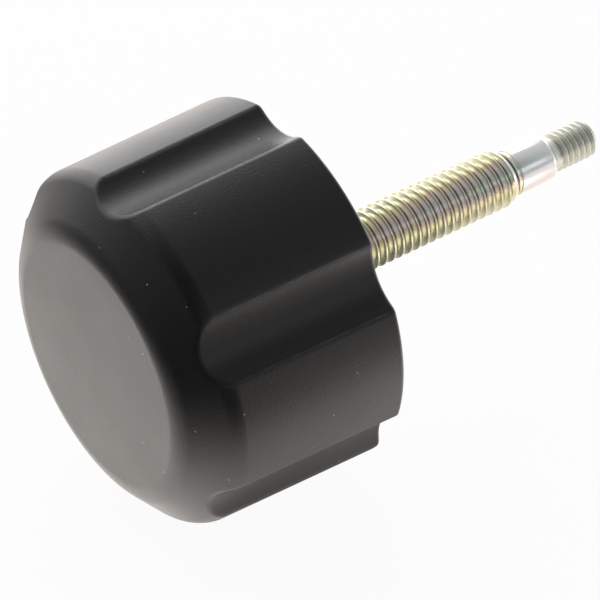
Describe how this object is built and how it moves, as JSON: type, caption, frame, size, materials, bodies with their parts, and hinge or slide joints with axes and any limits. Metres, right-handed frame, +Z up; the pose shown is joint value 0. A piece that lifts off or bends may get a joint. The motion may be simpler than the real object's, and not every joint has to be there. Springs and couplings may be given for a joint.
{
  "type": "fluted clamping knob",
  "caption": "Round moulded plastic knob with shallow grip flutes on a moulded-in steel stud that has a main thread, a plain pilot and a smaller threaded tip.",
  "frame": {"origin": "on the knob's axis at the head's rear face, where the stud leaves the hub", "axes": "+X along the stud towards its tip, +Z up with the knob lying on two lobes and one flute facing down"},
  "size_m": [0.0583, 0.0364, 0.0356],
  "materials": {
    "head_plastic": "fine spark-eroded satin grain",
    "plated_steel": "bright yellow-passivated zinc plating"
  },
  "bodies": {
    "root": {"knob_head": "head_plastic", "stud": "plated_steel"}
  },
  "joints": []
}
